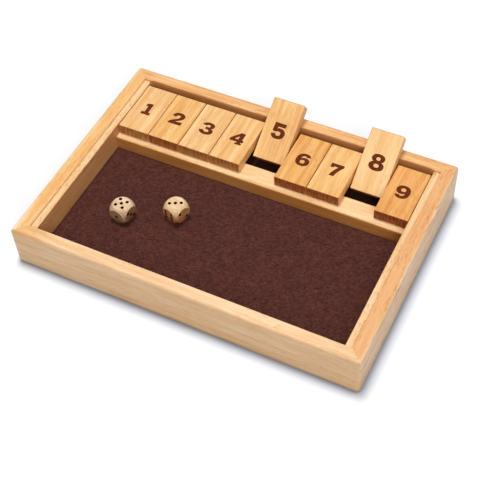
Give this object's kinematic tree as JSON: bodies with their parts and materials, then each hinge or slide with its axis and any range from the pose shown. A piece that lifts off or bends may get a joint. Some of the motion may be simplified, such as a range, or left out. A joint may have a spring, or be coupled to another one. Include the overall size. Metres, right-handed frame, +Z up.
{
  "type": "dice and number tile game tray",
  "caption": "Open wooden tray with felt floor, a row of numbered tiles that flip over on a steel rod, and loose rounded dice.",
  "frame": {"origin": "middle of the tray's footprint, on the surface that it stands on", "axes": "+X along the row of tiles towards the highest number, +Y from the throwing area towards the tiles, +Z up"},
  "size_m": [0.282, 0.1988, 0.0516],
  "materials": {
    "rail_wood": "light orange-tan hardwood, oiled satin, fine darker grain along each rail",
    "pale_wood": "pale straight-grained hardwood, planed, satin",
    "tile_wood": "golden hardwood with grain along each tile, satin, dark burnt digits on both faces",
    "base_plywood": "thin plywood, unfinished",
    "felt": "dark burgundy-brown pressed felt, matt",
    "rod_steel": "plain drawn steel rod",
    "die_wood": "very pale close-grained wood with dark drilled pips"
  },
  "bodies": {
    "tray": {"rail_front": "rail_wood", "rail_back": "rail_wood", "rail_left": "rail_wood", "rail_right": "rail_wood", "base_panel": "base_plywood", "felt_mat": "felt", "liner_left": "pale_wood", "liner_right": "pale_wood", "tile_ledge": "pale_wood", "pivot_rod": "rod_steel"},
    "tile_1": {"tile_1": "tile_wood"},
    "tile_2": {"tile_2": "tile_wood"},
    "tile_3": {"tile_3": "tile_wood"},
    "tile_4": {"tile_4": "tile_wood"},
    "tile_5": {"tile_5": "tile_wood"},
    "tile_6": {"tile_6": "tile_wood"},
    "tile_7": {"tile_7": "tile_wood"},
    "tile_8": {"tile_8": "tile_wood"},
    "tile_9": {"tile_9": "tile_wood"},
    "die_1": {"die_1": "die_wood"},
    "die_2": {"die_2": "die_wood"}
  },
  "joints": [
    {"name": "tile_1_flip", "type": "hinge", "parent": "tray", "child": "tile_1", "pos_m": [0, 0.0685, 0.02865], "axis": [-1, 0, 0], "range_deg": [0, 147]},
    {"name": "tile_2_flip", "type": "hinge", "parent": "tray", "child": "tile_2", "pos_m": [0, 0.0685, 0.02865], "axis": [-1, 0, 0], "range_deg": [0, 147]},
    {"name": "tile_3_flip", "type": "hinge", "parent": "tray", "child": "tile_3", "pos_m": [0, 0.0685, 0.02865], "axis": [-1, 0, 0], "range_deg": [0, 147]},
    {"name": "tile_4_flip", "type": "hinge", "parent": "tray", "child": "tile_4", "pos_m": [0, 0.0685, 0.02865], "axis": [-1, 0, 0], "range_deg": [0, 147]},
    {"name": "tile_5_flip", "type": "hinge", "parent": "tray", "child": "tile_5", "pos_m": [0, 0.0685, 0.02865], "axis": [-1, 0, 0], "range_deg": [-147, 0]},
    {"name": "tile_6_flip", "type": "hinge", "parent": "tray", "child": "tile_6", "pos_m": [0, 0.0685, 0.02865], "axis": [-1, 0, 0], "range_deg": [0, 147]},
    {"name": "tile_7_flip", "type": "hinge", "parent": "tray", "child": "tile_7", "pos_m": [0, 0.0685, 0.02865], "axis": [-1, 0, 0], "range_deg": [0, 147]},
    {"name": "tile_8_flip", "type": "hinge", "parent": "tray", "child": "tile_8", "pos_m": [0, 0.0685, 0.02865], "axis": [-1, 0, 0], "range_deg": [-147, 0]},
    {"name": "tile_9_flip", "type": "hinge", "parent": "tray", "child": "tile_9", "pos_m": [0, 0.0685, 0.02865], "axis": [-1, 0, 0], "range_deg": [0, 147]},
    {"name": "die_1_lift", "type": "slide", "parent": "tray", "child": "die_1", "axis": [0, 0, 1], "range_m": [0, 0.05]},
    {"name": "die_2_lift", "type": "slide", "parent": "tray", "child": "die_2", "axis": [0, 0, 1], "range_m": [0, 0.05]}
  ]
}
